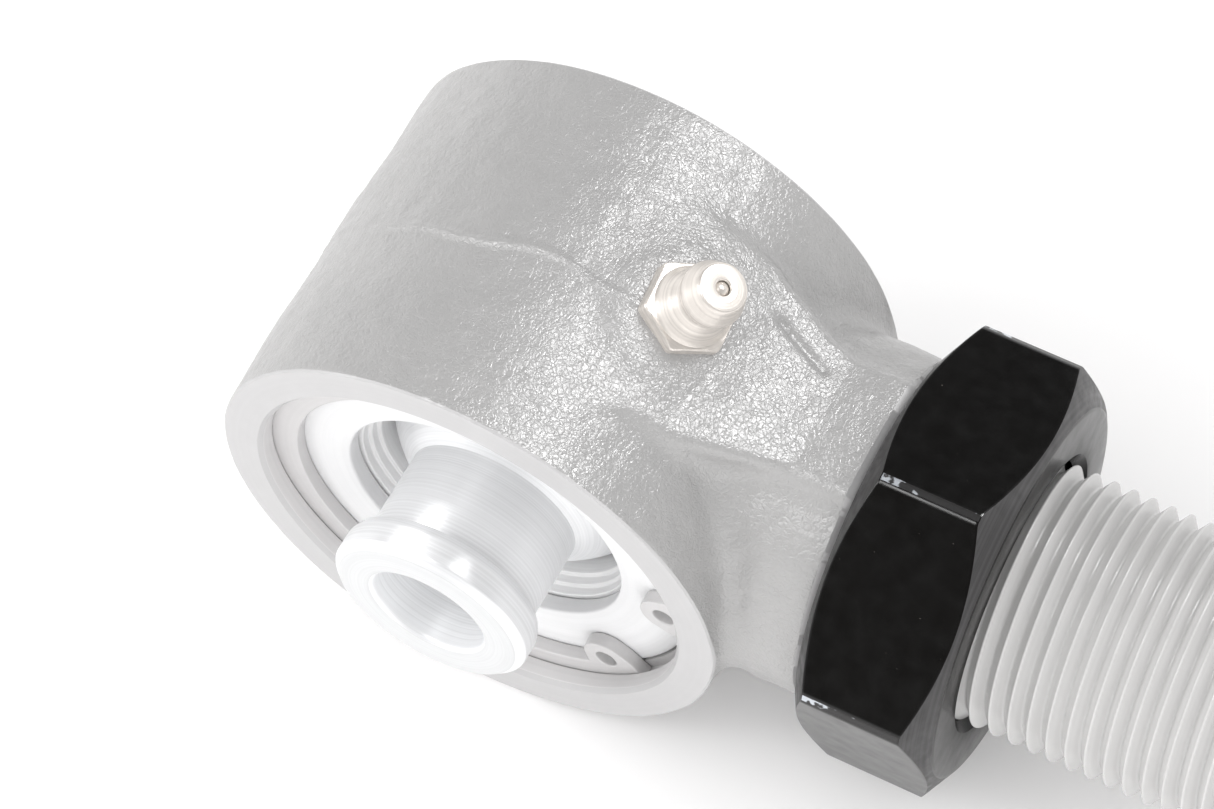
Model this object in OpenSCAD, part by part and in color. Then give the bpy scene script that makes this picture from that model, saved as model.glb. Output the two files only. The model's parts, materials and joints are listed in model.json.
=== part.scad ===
// Spherical tie rod end: a forged barrel with a threaded shank, a bored ball held between two
// races, a jam nut and a grease fitting. Millimetres.
// Origin at the ball's centre, +X along the shank, +Y along the bolt bore, +Z up.

/* [Barrel] */
// Outside diameter of the forged barrel
barrel_d = 57.15; // [56.5:0.05:62]
// Width of the barrel along the bolt bore
barrel_w = 41.8; // [41.6:0.1:46]
// Diameter of the bore that holds the races
race_bore_d = 48.2; // [47.8:0.1:48.6]
// Chamfer at each mouth of the bore
mouth_chamfer = 0.5; // [0.2:0.1:0.8]
// Rounding stand-in chamfer on the barrel's outer rims
rim_chamfer = 0.35; // [0.1:0.05:0.6]

/* [Neck and shank] */
// Diameter of the forged neck
neck_d = 38; // [34:0.5:39]
// Distance from the ball's centre to the neck's flat shoulder
neck_end_x = 37.4; // [35:0.1:40]
// Radius of the concave blend between barrel and neck
blend_r = 13; // [8:0.5:14]
// Major diameter of the shank thread
thread_d = 28.575; // [27:0.005:30]
// Threads per inch
threads_per_inch = 12; // [10:1:16]
// Distance from the ball's centre to the shank's end
shank_end_x = 95.25; // [85:0.25:120]

/* [Ball] */
// Diameter of the ball
ball_d = 35.4; // [35:0.1:36]
// Diameter of the ball's cylindrical necks
ball_neck_d = 19.05; // [18:0.05:19.5]
// Diameter of the collars at the ball's ends
collar_d = 22.2; // [21:0.1:24]
// Width over the two collars
ball_w = 58.74; // [56:0.02:62]
// Length of each collar
collar_len = 4.4; // [3:0.1:6]
// Diameter of the bolt bore
bolt_bore_d = 12.84; // [12.8:0.01:13.2]

/* [Rings and washers] */
// Distance from the barrel's middle to a washer's outer face
washer_face_y = 17; // [16.6:0.1:17.2]
// Thickness of a side washer
washer_t = 2; // [1.5:0.1:2.2]
// Diameter of the hole in a side washer
washer_hole_d = 31.6; // [31.2:0.1:34]
// Thickness of a snap ring
ring_t = 1.55; // [1.2:0.05:1.8]
// Direction of the front ring's gap, from +X towards +Z
ring_gap_angle = -25; // [-180:1:180]

/* [Jam nut] */
// Width across the nut's flats
nut_af = 42.86; // [40:0.01:44]
// Thickness of the nut
nut_t = 15.5; // [12:0.1:18]
// Turn of the nut about the shank
nut_turn = 14.5; // [0:0.5:59]

/* [Grease fitting] */
// Direction of the fitting, from +X towards +Z
fitting_angle = 60.1; // [55:0.1:75]
// Distance from the ball's centre to the fitting's seat
fitting_seat_r = 29; // [28.8:0.1:31]
// Offset of the fitting from the middle plane, towards the rear
fitting_y = 1; // [-2:0.5:2]
// Width across the fitting's flats
fitting_af = 9; // [8:0.1:10]

/* [Hidden] */
$fn = 64;
FRONT = 1;
REAR = -1;
pitch = 25.4 / threads_per_inch;
// Cutters run this far past the faces they cut
past = 1;
// Running clearance between a turning piece and its housing, and between ball and seat
race_gap = 0.05;
seat_gap = 0.08;
thread_clearance = 0.06;
// Share of one pitch taken by the crest flat, one flank and the root flat of a 60 degree thread
crest_share = 0.125;
flank_share = 0.354;
root_share = 1 - crest_share - 2 * flank_share;
thread_depth = 0.6134 * pitch;
thread_start_x = neck_end_x + 2;
shank_chamfer = 1.8;
// The neck's sweep ends this far under the barrel's surface
blend_sink = 0.5;
relief_d = thread_d - 2 * thread_depth;
thread_turns = floor((shank_end_x - shank_chamfer - thread_start_x) / pitch);
// The rings sit in grooves just outside the washers
ring_gap = 0.05;
ring_y = washer_face_y + ring_gap;
groove_r = race_bore_d / 2 + 1.2;
groove_w = ring_t + 0.15;
ring_outer_r = groove_r - 0.2;
ring_inner_r = 21.6;
ring_offset = 0.5;
ring_half_gap = 16;
lug_r = 2.7;
lug_hole_r = 1.2;
lug_at_r = 21.6;
lug_angle = 23.5;
// Races fill the space between the washers
race_face_y = washer_face_y - washer_t - ring_gap;
race_split = 0.25;
race_chamfer = 1;
mouth_step_r = 0.5;
mouth_step_y = 1.05;
race_mouth_r = 14.4;
// Collar and bolt bore chamfers
collar_face_chamfer = 0.9;
collar_back_chamfer = 1.1;
bolt_bore_chamfer = 0.45;
// Nut: the chamfer leaves a round face a little smaller than the flats
nut_x = neck_end_x + 0.1;
nut_face_share = 0.95;
nut_chamfer_angle = 30;
nut_corner_r = nut_af / sqrt(3);
nut_countersink = 1.1;
nut_thread_turns = floor((nut_t - 2 * nut_countersink) / pitch);
// Grease fitting, measured outward from its seat
fitting_turn = -25;
fitting_hex_h = 2.3;
fitting_waist_h = 5.6;
fitting_ring_h = 7.2;
fitting_top_h = 9.5;
fitting_waist_r = 2.6;
fitting_ring_r = 3.4;
fitting_top_r = 2.5;
stem_r = 3.1;
stem_len = 4;
stem_hole_r = 3.15;
pad_r = 6.4;
passage_r = 1.5;
lip_t = 0.35;
lip_hole_r = 0.8;
check_ball_r = 1;
check_bore_r = 1.08;
oil_hole_r = 0.6;
check_gap = 0.08;
check_ball_h = fitting_top_h - lip_t - check_gap - sqrt(check_ball_r * check_ball_r - lip_hole_r * lip_hole_r);
spring_coils = 6;
spring_pitch = 0.62;
spring_wire_r = 0.14;
spring_coil_r = 0.72;
spring_h = (spring_coils - 1) * spring_pitch + 2 * spring_wire_r;
spring_base_h = check_ball_h - check_ball_r - spring_h;

forged_housing();
jam_nut();
ball_sleeve();
front_race();
rear_race();
front_side_washer();
rear_side_washer();
front_snap_ring();
rear_snap_ring();
grease_fitting_body();
grease_check_ball();
grease_fitting_spring();

// Lays a shape drawn along +Z along the shank
module along_shank() {
    rotate([0, 90, 0]) children();
}

// Lays a shape drawn along +Z outward from the barrel's middle, to the front (-Y) or the rear (+Y)
module outward(side) {
    rotate([90 * side, 0, 0]) children();
}

// Lays a shape drawn along +Z along the grease fitting's axis
module along_fitting() {
    translate([0, fitting_y, 0]) rotate([0, 90 - fitting_angle, 0]) children();
}

// Outline, as radius and length, of a thread cut into a bar or out of a hole
function thread_outline(crest_r, root_r, start, turns) = [
    for (i = [0 : turns - 1])
        for (corner = [
            [crest_r, 0],
            [crest_r, crest_share],
            [root_r, crest_share + flank_share],
            [root_r, crest_share + flank_share + root_share]
        ])
            [corner[0], start + (i + corner[1]) * pitch]
];

module forged_housing() {
    color([0.62, 0.62, 0.63])
    difference() {
        union() {
            barrel_blank();
            neck_blank();
            threaded_shank();
            along_fitting() cylinder(r = pad_r, h = fitting_seat_r);
        }
        outward(FRONT) cylinder(d = race_bore_d, h = barrel_w + 2 * past, center = true);
        for (side = [FRONT, REAR]) outward(side) mouth_cutter();
        along_fitting() {
            translate([0, 0, fitting_seat_r - stem_len - 0.2])
                cylinder(r = stem_hole_r, h = stem_len + past);
            cylinder(r = passage_r, h = fitting_seat_r);
        }
    }
}

// Barrel with broken outer rims
module barrel_blank() {
    outward(FRONT) rotate_extrude() polygon([
        [0, -barrel_w / 2],
        [barrel_d / 2 - rim_chamfer, -barrel_w / 2],
        [barrel_d / 2, -barrel_w / 2 + rim_chamfer],
        [barrel_d / 2, barrel_w / 2 - rim_chamfer],
        [barrel_d / 2 - rim_chamfer, barrel_w / 2],
        [0, barrel_w / 2]
    ]);
}

// Neck that sweeps out to meet the barrel, kept within the barrel's width. The sweep is an arc
// that touches the neck's outline and runs into the barrel at a shallow angle.
module neck_blank() {
    barrel_r = barrel_d / 2 - blend_sink;
    arc_r = neck_d / 2 + blend_r;
    arc_x = sqrt(pow(barrel_r + blend_r, 2) - pow(arc_r, 2));
    touch_share = barrel_r / (barrel_r + blend_r);
    intersection() {
        along_shank() rotate_extrude() difference() {
            square([touch_share * arc_r, neck_end_x]);
            translate([arc_r, arc_x]) circle(r = blend_r);
            translate([neck_d / 2, arc_x]) square([blend_r + past, neck_end_x]);
        }
        translate([0, -barrel_w / 2 + rim_chamfer, -barrel_d])
            cube([neck_end_x, barrel_w - 2 * rim_chamfer, 2 * barrel_d]);
    }
}

// Shank with ring grooves of the thread's section
module threaded_shank() {
    crest_r = thread_d / 2;
    tip_r = crest_r - shank_chamfer;
    thread_end = thread_start_x + thread_turns * pitch;
    along_shank() rotate_extrude() polygon(concat(
        [[0, neck_end_x - past], [relief_d / 2, neck_end_x - past], [relief_d / 2, thread_start_x - 0.5]],
        thread_outline(crest_r, crest_r - thread_depth, thread_start_x, thread_turns),
        [[crest_r, thread_end], [crest_r, shank_end_x - shank_chamfer], [tip_r, shank_end_x], [0, shank_end_x]]
    ));
}

// Mouth chamfer and ring groove at one end of the barrel's bore
module mouth_cutter() {
    mouth_r = race_bore_d / 2;
    translate([0, 0, barrel_w / 2 - mouth_chamfer])
        cylinder(r1 = mouth_r, r2 = mouth_r + 2 * mouth_chamfer, h = 2 * mouth_chamfer);
    translate([0, 0, washer_face_y]) cylinder(r = groove_r, h = groove_w);
}

module jam_nut() {
    face_r = nut_face_share * nut_af / 2;
    chamfer_h = (nut_corner_r - face_r) * tan(nut_chamfer_angle);
    hole_r = thread_d / 2 + thread_clearance;
    thread_start = (nut_t - nut_thread_turns * pitch) / 2;
    color([0.08, 0.08, 0.08])
    translate([nut_x, 0, 0]) rotate([nut_turn, 0, 0]) along_shank()
    difference() {
        intersection() {
            cylinder(r = nut_corner_r, h = nut_t, $fn = 6);
            rotate_extrude() polygon([
                [0, 0], [face_r, 0], [nut_corner_r, chamfer_h],
                [nut_corner_r, nut_t - chamfer_h], [face_r, nut_t], [0, nut_t]
            ]);
        }
        rotate_extrude() polygon(concat(
            [[0, -past], [hole_r + nut_countersink + past, -past], [hole_r, nut_countersink]],
            thread_outline(hole_r, hole_r + thread_depth, thread_start, nut_thread_turns),
            [
                [hole_r, thread_start + nut_thread_turns * pitch], [hole_r, nut_t - nut_countersink],
                [hole_r + nut_countersink + past, nut_t + past], [0, nut_t + past]
            ]
        ));
    }
}

module ball_sleeve() {
    color([0.80, 0.80, 0.82])
    difference() {
        union() {
            sphere(d = ball_d);
            for (side = [FRONT, REAR]) outward(side) ball_end();
        }
        outward(FRONT) cylinder(d = bolt_bore_d, h = ball_w + 2 * past, center = true);
        for (side = [FRONT, REAR])
            outward(side) translate([0, 0, ball_w / 2 - bolt_bore_chamfer])
                cylinder(
                    r1 = bolt_bore_d / 2, r2 = bolt_bore_d / 2 + 2 * bolt_bore_chamfer,
                    h = 2 * bolt_bore_chamfer
                );
    }
}

// One cylindrical neck with its chamfered collar
module ball_end() {
    neck_r = ball_neck_d / 2;
    collar_r = collar_d / 2;
    back = ball_w / 2 - collar_len;
    rotate_extrude() polygon([
        [0, 0], [neck_r, 0], [neck_r, back], [collar_r - 0.4, back],
        [collar_r, back + collar_back_chamfer],
        [collar_r, ball_w / 2 - collar_face_chamfer],
        [collar_r - collar_face_chamfer, ball_w / 2], [0, ball_w / 2]
    ]);
}

module front_race() {
    color([0.72, 0.71, 0.70]) outward(FRONT) race();
}

module rear_race() {
    color([0.72, 0.71, 0.70]) outward(REAR) race();
}

// Half of the ball's seat, with a stepped mouth that lets the ball's neck swing
module race() {
    outer_r = race_bore_d / 2 - race_gap;
    difference() {
        rotate_extrude() polygon([
            [0, race_split], [outer_r - race_chamfer, race_split], [outer_r, race_split + race_chamfer],
            [outer_r, race_face_y - race_chamfer / 2], [outer_r - race_chamfer / 2, race_face_y], [0, race_face_y]
        ]);
        sphere(r = ball_d / 2 + seat_gap);
        for (i = [0 : 2])
            translate([0, 0, race_face_y - (3 - i) * mouth_step_y])
                cylinder(r = race_mouth_r + i * mouth_step_r, h = barrel_w);
        cylinder(r = race_mouth_r, h = barrel_w);
    }
}

module front_side_washer() {
    color([0.88, 0.88, 0.89]) outward(FRONT) side_washer();
}

module rear_side_washer() {
    color([0.88, 0.88, 0.89]) outward(REAR) side_washer();
}

module side_washer() {
    edge = 0.3;
    outer_r = race_bore_d / 2 - 0.2;
    inner_r = washer_hole_d / 2;
    low = washer_face_y - washer_t;
    rotate_extrude() polygon([
        [inner_r, low], [outer_r, low], [outer_r, washer_face_y - edge], [outer_r - edge, washer_face_y],
        [inner_r + edge, washer_face_y], [inner_r, washer_face_y - edge]
    ]);
}

module front_snap_ring() {
    color([0.45, 0.45, 0.46]) outward(FRONT) snap_ring(ring_gap_angle);
}

module rear_snap_ring() {
    color([0.45, 0.45, 0.46]) outward(REAR) snap_ring(180 - ring_gap_angle);
}

// Internal ring, widest opposite its gap, with a drilled lug at each side of the gap
module snap_ring(gap_angle) {
    far = 2 * groove_r;
    half = ring_half_gap;
    translate([0, 0, ring_y]) rotate([0, 0, gap_angle]) linear_extrude(ring_t) difference() {
        union() {
            difference() {
                circle(r = ring_outer_r);
                translate([ring_offset, 0]) circle(r = ring_inner_r);
                polygon([[0, 0], [far * cos(half), -far * sin(half)], [far * cos(half), far * sin(half)]]);
            }
            for (side = [-1, 1])
                rotate(side * lug_angle) translate([lug_at_r, 0]) circle(r = lug_r);
        }
        for (side = [-1, 1])
            rotate(side * lug_angle) translate([lug_at_r, 0]) circle(r = lug_hole_r);
    }
}

module grease_fitting_body() {
    hex_r = fitting_af / sqrt(3);
    color([0.82, 0.79, 0.74])
    along_fitting() translate([0, 0, fitting_seat_r + 0.02]) difference() {
        union() {
            translate([0, 0, -stem_len]) cylinder(r = stem_r, h = stem_len + 0.1);
            intersection() {
                rotate(fitting_turn) cylinder(r = hex_r, h = fitting_hex_h, $fn = 6);
                cylinder(r1 = hex_r + fitting_hex_h, r2 = fitting_af / 2, h = fitting_hex_h);
            }
            rotate_extrude() polygon([
                [0, 0.1], [3.9, fitting_hex_h - 0.5], [3.9, fitting_hex_h + 0.3],
                [3.0, fitting_waist_h - 1.2], [fitting_waist_r, fitting_waist_h],
                [fitting_ring_r, fitting_ring_h - 0.6], [fitting_ring_r, fitting_ring_h],
                [fitting_top_r + 0.3, fitting_top_h - 0.9], [fitting_top_r, fitting_top_h - 0.25],
                [fitting_top_r - 0.25, fitting_top_h], [0, fitting_top_h]
            ]);
        }
        translate([0, 0, spring_base_h]) cylinder(r = check_bore_r, h = fitting_top_h - lip_t - spring_base_h);
        translate([0, 0, -stem_len - past]) cylinder(r = oil_hole_r, h = stem_len + past + spring_base_h + past);
        cylinder(r = lip_hole_r, h = fitting_top_h + past);
    }
}

module grease_check_ball() {
    color([0.90, 0.90, 0.92])
    along_fitting() translate([0, 0, fitting_seat_r + check_ball_h]) sphere(r = check_ball_r);
}

// Closed coils joined by short links on alternate sides
module grease_fitting_spring() {
    color([0.75, 0.75, 0.76])
    along_fitting() translate([0, 0, fitting_seat_r + spring_base_h + spring_wire_r]) {
        for (i = [0 : spring_coils - 1])
            translate([0, 0, i * spring_pitch])
                rotate_extrude() translate([spring_coil_r, 0]) circle(r = spring_wire_r);
        for (i = [0 : spring_coils - 2])
            rotate(180 * (i % 2)) translate([spring_coil_r, 0, i * spring_pitch])
                cylinder(r = spring_wire_r * 0.8, h = spring_pitch);
    }
}
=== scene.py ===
"""Tie rod end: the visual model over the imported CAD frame, with its materials, light and camera."""

import json
import math

import bmesh
import bpy
import numpy as np
from mathutils import Matrix, Vector, noise


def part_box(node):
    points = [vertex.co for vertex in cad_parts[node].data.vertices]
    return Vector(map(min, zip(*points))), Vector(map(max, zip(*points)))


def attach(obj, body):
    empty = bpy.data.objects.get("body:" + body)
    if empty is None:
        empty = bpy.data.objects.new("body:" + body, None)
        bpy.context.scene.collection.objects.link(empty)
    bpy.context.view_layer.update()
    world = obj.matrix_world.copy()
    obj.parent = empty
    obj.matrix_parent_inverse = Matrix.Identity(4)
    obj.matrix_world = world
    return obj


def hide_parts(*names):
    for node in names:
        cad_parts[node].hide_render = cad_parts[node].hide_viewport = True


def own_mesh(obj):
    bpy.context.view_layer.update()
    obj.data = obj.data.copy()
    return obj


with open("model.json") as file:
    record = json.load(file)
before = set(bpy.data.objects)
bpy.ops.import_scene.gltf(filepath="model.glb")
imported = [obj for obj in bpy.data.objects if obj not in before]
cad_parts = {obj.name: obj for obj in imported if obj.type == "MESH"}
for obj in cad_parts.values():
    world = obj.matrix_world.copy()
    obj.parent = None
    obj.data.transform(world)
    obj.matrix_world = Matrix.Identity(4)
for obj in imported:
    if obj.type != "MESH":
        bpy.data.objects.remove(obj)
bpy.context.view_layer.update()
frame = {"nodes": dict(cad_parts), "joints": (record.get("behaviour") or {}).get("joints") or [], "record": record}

# Lengths in this file are millimetres. Meshes are scaled to metres as they are made.
MM = 0.001
FRONT, REAR = 1, -1
ALL_ROUND = 2 * math.pi


# ---------------------------------------------------------------- sizes from the CAD and the record


def box_mm(node):
    """Lowest and highest corner of a CAD node, in millimetres."""
    low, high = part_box(node)
    return np.array(low) / MM, np.array(high) / MM


def mount_dims(name):
    """The stated sizes of one mount of the record, in millimetres."""
    return next(m["dims"] for m in frame["record"]["mounts"] if m["name"] == name)


def joint(name):
    """One joint of the frame."""
    return next(j for j in frame["joints"] if j["name"] == name)


# Read from the frame.
housing_low, housing_high = box_mm("forged_housing")
barrel_r = -housing_low[0]
barrel_half_w = housing_high[1]
shank_end = housing_high[0]
nut_low, nut_high = box_mm("jam_nut")
nut_thickness = nut_high[0] - nut_low[0]
washer_low, washer_high = box_mm("rear_side_washer")
ring_low, ring_high = box_mm("rear_snap_ring")
race_low, race_high = box_mm("rear_race")
ball_half_w, ball_r = box_mm("ball_sleeve")[1][1:]
bolt_r = mount_dims("ball_bore")["r_mm"]
fitting_low, fitting_high = box_mm("grease_fitting_body")
fitting_y = (fitting_low[1] + fitting_high[1]) / 2
fitting_axis = -Vector(joint("check_ball_press")["axis"]).normalized()

# The CAD source's own values, which its boxes don't show.
thread_r = 14.2875
thread_pitch = 25.4 / 12
neck_r = 19.0
fitting_seat = 29.0
nut_turn = math.radians(14.5)
nut_apothem = 21.43
ring_gap_angle = math.radians(-25)
race_clearance, ring_clearance, seat_clearance, nut_clearance = 0.05, 0.06, 0.08, 0.06
bore_r = race_high[0] + race_clearance
groove_r = ring_high[2] + ring_clearance
neck_end = nut_low[0] - 0.1
nut_hole_r = thread_r + nut_clearance


# ---------------------------------------------------------------- mesh helpers


def place_outward(side):
    """Turns a shape drawn along +Z to face the front (-Y) or the rear (+Y)."""
    return Matrix.Rotation(side * math.pi / 2, 4, "X")


def add_piece(name, points, faces, materials, body, replaced=(), matrix=None, sharp=35):
    """A mesh from points in millimetres, riding on a CAD body."""
    mesh = bpy.data.meshes.new(name)
    mesh.from_pydata((np.asarray(points, float) * MM).tolist(), [], faces)
    return finish_piece(name, mesh, materials, body, replaced, matrix, sharp)


def finish_piece(name, mesh, materials, body, replaced=(), matrix=None, sharp=35):
    """Smooth shading, materials, place and body for a finished mesh."""
    mesh.validate()
    mesh.polygons.foreach_set("use_smooth", [True] * len(mesh.polygons))
    mesh.set_sharp_from_angle(angle=math.radians(sharp))
    for material in materials:
        mesh.materials.append(material)
    piece = bpy.data.objects.new(name, mesh)
    bpy.context.scene.collection.objects.link(piece)
    if matrix is not None:
        piece.matrix_world = matrix
    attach(piece, body)
    if replaced:
        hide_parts(*replaced)
    return piece


def rounded(profile, radius, steps=4, closed=True):
    """The profile with each corner replaced by a short arc, kept within the neighbouring edges."""
    count = len(profile)
    points = [Vector(p) for p in profile]
    result = []
    for i, corner in enumerate(points):
        if not closed and i in (0, count - 1):
            result.append(tuple(corner))
            continue
        before = points[i - 1] - corner
        after = points[(i + 1) % count] - corner
        reach = min(radius, 0.45 * before.length, 0.45 * after.length)
        start = corner + before.normalized() * reach
        end = corner + after.normalized() * reach
        for k in range(steps + 1):
            t = k / steps
            point = start * (1 - t) ** 2 + corner * (2 * t * (1 - t)) + end * t * t
            result.append(tuple(point))
    return result


def turned_faces(segments, rows, closed):
    """Quads over columns of points that go all round, closed when the last row meets the first."""
    faces = []
    for segment in range(segments):
        here, there = segment * rows, (segment + 1) % segments * rows
        for row in range(rows if closed else rows - 1):
            following = (row + 1) % rows
            faces.append((here + row, there + row, there + following, here + following))
    return faces


def revolve(profile, segments):
    """Points and faces of a closed profile of (radius, height) pairs turned about +Z."""
    rows = len(profile)
    angles = np.linspace(0, ALL_ROUND, segments, endpoint=False)
    profile = np.array(profile, float)
    points = np.stack(
        [
            np.outer(np.cos(angles), profile[:, 0]),
            np.outer(np.sin(angles), profile[:, 0]),
            np.broadcast_to(profile[:, 1], (segments, rows)),
        ],
        axis=-1,
    ).reshape(-1, 3)
    return points, turned_faces(segments, rows, closed=True)


def grid_faces(rows, columns, wrap_columns=True):
    """Quads over a grid of rows by columns of points."""
    faces = []
    last = columns if wrap_columns else columns - 1
    for row in range(rows - 1):
        here, above = row * columns, (row + 1) * columns
        for column in range(last):
            following = (column + 1) % columns
            faces.append((here + column, here + following, above + following, above + column))
    return faces


def thread_grid(outline, turns, start, segments):
    """Angles, and at each outline point and angle the distance along and the cut, of a thread.

    The outline gives (share of a pitch, share of the depth) pairs over one turn.
    """
    angles = np.linspace(0, ALL_ROUND, segments + 1)
    shares = np.array([turn + share for turn in range(-1, turns) for share, _ in outline])
    cuts = np.array([cut for _ in range(-1, turns) for _, cut in outline])
    along = start + thread_pitch * (shares[:, None] + angles[None, :] / ALL_ROUND)
    return angles, along, np.broadcast_to(cuts[:, None], along.shape)


# ---------------------------------------------------------------- materials


class Shader:
    """A procedural node material, built step by step."""

    def __init__(self, name):
        self.material = bpy.data.materials.new(name)
        self.material.use_nodes = True
        self.nodes = self.material.node_tree.nodes
        self.links = self.material.node_tree.links
        self.surface = self.nodes["Principled BSDF"]
        self.coordinates = self.nodes.new("ShaderNodeTexCoord").outputs["Object"]

    def set(self, **values):
        """Sets sockets of the surface to plain values."""
        for name, value in values.items():
            self.surface.inputs[name.replace("_", " ")].default_value = value

    def math(self, operation, a, b=None):
        """One operation on numbers or sockets."""
        node = self.nodes.new("ShaderNodeMath")
        node.operation = operation
        for socket, value in zip(node.inputs, (a, b)):
            if value is None:
                continue
            if isinstance(value, (int, float)):
                socket.default_value = value
            else:
                self.links.new(value, socket)
        return node.outputs[0]

    def part_of(self, vector, axis):
        """One of a vector's three values."""
        split = self.nodes.new("ShaderNodeSeparateXYZ")
        self.links.new(vector, split.inputs[0])
        return split.outputs[axis]

    def warped(self, scale, amount_mm):
        """Object coordinates pushed about by noise."""
        push = self.nodes.new("ShaderNodeTexNoise")
        push.inputs["Scale"].default_value = scale
        self.links.new(self.coordinates, push.inputs["Vector"])
        mixed = self.nodes.new("ShaderNodeVectorMath")
        mixed.operation = "MULTIPLY_ADD"
        self.links.new(push.outputs["Color"], mixed.inputs[0])
        mixed.inputs[1].default_value = (amount_mm * MM, amount_mm * MM, amount_mm * MM)
        self.links.new(self.coordinates, mixed.inputs[2])
        return mixed.outputs[0]

    def turned(self, axis):
        """Distance from an axis and distance along it, as a vector: rings on faces and on cylinders."""
        split = self.nodes.new("ShaderNodeSeparateXYZ")
        self.links.new(self.coordinates, split.inputs[0])
        along = split.outputs[axis]
        others = [split.outputs[n] for n in "XYZ" if n != axis]
        squares = [self.math("MULTIPLY", o, o) for o in others]
        radius = self.math("SQRT", self.math("ADD", *squares))
        joined = self.nodes.new("ShaderNodeCombineXYZ")
        self.links.new(radius, joined.inputs["X"])
        self.links.new(along, joined.inputs["Y"])
        return joined.outputs[0]

    def noise(self, scale, detail=3.0, roughness=0.5, source=None, distortion=0.0):
        """Soft noise, 0 to 1."""
        node = self.nodes.new("ShaderNodeTexNoise")
        node.inputs["Scale"].default_value = scale
        node.inputs["Detail"].default_value = detail
        node.inputs["Roughness"].default_value = roughness
        node.inputs["Distortion"].default_value = distortion
        self.links.new(source or self.coordinates, node.inputs["Vector"])
        return node.outputs["Fac"]

    def cells(self, scale, feature="F1", source=None):
        """Distance within a pattern of cells."""
        node = self.nodes.new("ShaderNodeTexVoronoi")
        node.feature = feature
        node.inputs["Scale"].default_value = scale
        self.links.new(source or self.coordinates, node.inputs["Vector"])
        return node.outputs["Distance"]

    def ramp(self, factor, stops):
        """A colour ramp from (position, grey or colour) stops."""
        node = self.nodes.new("ShaderNodeValToRGB")
        elements = node.color_ramp.elements
        while len(elements) < len(stops):
            elements.new(0.5)
        for element, (position, value) in zip(elements, stops):
            element.position = position
            colour = (value, value, value) if isinstance(value, (int, float)) else value
            element.color = (*colour, 1)
        self.links.new(factor, node.inputs["Fac"])
        return node.outputs["Color"]

    def bump(self, height, strength, distance_mm, under=None):
        """A normal bent by a height, over an earlier bent normal."""
        node = self.nodes.new("ShaderNodeBump")
        node.inputs["Strength"].default_value = strength
        node.inputs["Distance"].default_value = distance_mm * MM
        self.links.new(height, node.inputs["Height"])
        if under is not None:
            self.links.new(under, node.inputs["Normal"])
        return node.outputs["Normal"]

    def into(self, socket_name, output):
        """Links an output to a socket of the surface."""
        self.links.new(output, self.surface.inputs[socket_name])


def forged_material():
    """Pale glossy forged skin: small pebbles, creases between them and broad stains."""
    s = Shader("forged_skin")
    s.set(IOR=1.75)
    stains = s.noise(60, detail=4)
    s.into("Base Color", s.ramp(stains, [(0.3, (0.345, 0.341, 0.339)), (0.7, (0.375, 0.37, 0.368))]))
    s.into("Roughness", s.ramp(s.noise(900, detail=2), [(0.35, 0.29), (0.7, 0.38)]))
    bent = s.warped(1100, 0.8)
    creases = s.ramp(s.cells(1800, feature="DISTANCE_TO_EDGE", source=bent), [(0.0, 0.0), (0.2, 1.0)])
    pebbles = s.cells(3000, feature="SMOOTH_F1")
    normal = s.bump(s.noise(1500, detail=2.5, distortion=1.2), 1.0, 0.085)
    normal = s.bump(creases, 1.0, 0.022, under=normal)
    s.into("Normal", s.bump(pebbles, -1.0, 0.05, under=normal))
    return s.material


def turned_material(
    name, axis, colour, roughness, ring_strength,
    metallic=0.3, speckle=0.0, ring_scale=1900, tone=0.05, streak=0.0,
):
    """Machined metal: fine rings about an axis, with small specks and uneven polish.

    Tone is the rings' share of light and dark, and streak draws highlights out across them.
    """
    s = Shader(name)
    s.set(Metallic=metallic, Anisotropic=streak, Anisotropic_Rotation=0.25)
    tangent = s.nodes.new("ShaderNodeTangent")
    tangent.direction_type = "RADIAL"
    tangent.axis = axis
    s.into("Tangent", tangent.outputs[0])
    rings = s.noise(ring_scale, detail=1.5, source=s.turned(axis))
    low = tuple(c * (1 - tone) for c in colour)
    high = tuple(min(1.0, c * (1 + tone)) for c in colour)
    s.into("Base Color", s.ramp(rings, [(0.35, low), (0.65, high)]))
    s.into("Roughness", s.ramp(s.noise(400, detail=2), [(0.3, roughness * 0.9), (0.7, roughness * 1.15)]))
    normal = s.bump(rings, ring_strength, 0.03)
    if speckle:
        normal = s.bump(s.noise(2800, detail=1), speckle, 0.03, under=normal)
    s.into("Normal", normal)
    return s.material


def nut_material():
    """Black oxide with dust and duller patches, reflecting less near the thread than outside it."""
    s = Shader("nut_black")
    s.set(IOR=1.5)
    dust = s.ramp(s.cells(900), [(0.03, 0.35), (0.06, 0.0)])
    dust_here = s.math("MULTIPLY", dust, s.ramp(s.noise(300), [(0.55, 0.0), (0.68, 1.0)]))
    s.into("Base Color", s.ramp(dust_here, [(0.0, (0.003, 0.0026, 0.0022)), (0.4, (0.22, 0.2, 0.18))]))
    s.into("Roughness", s.ramp(s.noise(500, detail=5), [(0.3, 0.18), (0.7, 0.26)]))
    from_axis = s.part_of(s.turned("X"), "X")
    s.into("Specular IOR Level", s.ramp(from_axis, [(0.0172, 0.06), (0.0192, 0.5)]))
    s.into("Normal", s.bump(s.noise(1500, detail=5), 0.1, 0.02))
    return s.material


def chamfer_material():
    """The nut's turned chamfers, dark grey with lathe rings."""
    s = Shader("nut_chamfer")
    s.set(Metallic=0.6)
    rings = s.noise(2200, detail=5, roughness=0.7, source=s.turned("X"))
    s.into("Base Color", s.ramp(rings, [(0.3, (0.035, 0.034, 0.034)), (0.7, (0.09, 0.088, 0.09))]))
    s.into("Roughness", s.ramp(s.noise(700, detail=4), [(0.3, 0.3), (0.7, 0.5)]))
    s.into("Normal", s.bump(rings, 0.3, 0.03))
    return s.material


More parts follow.
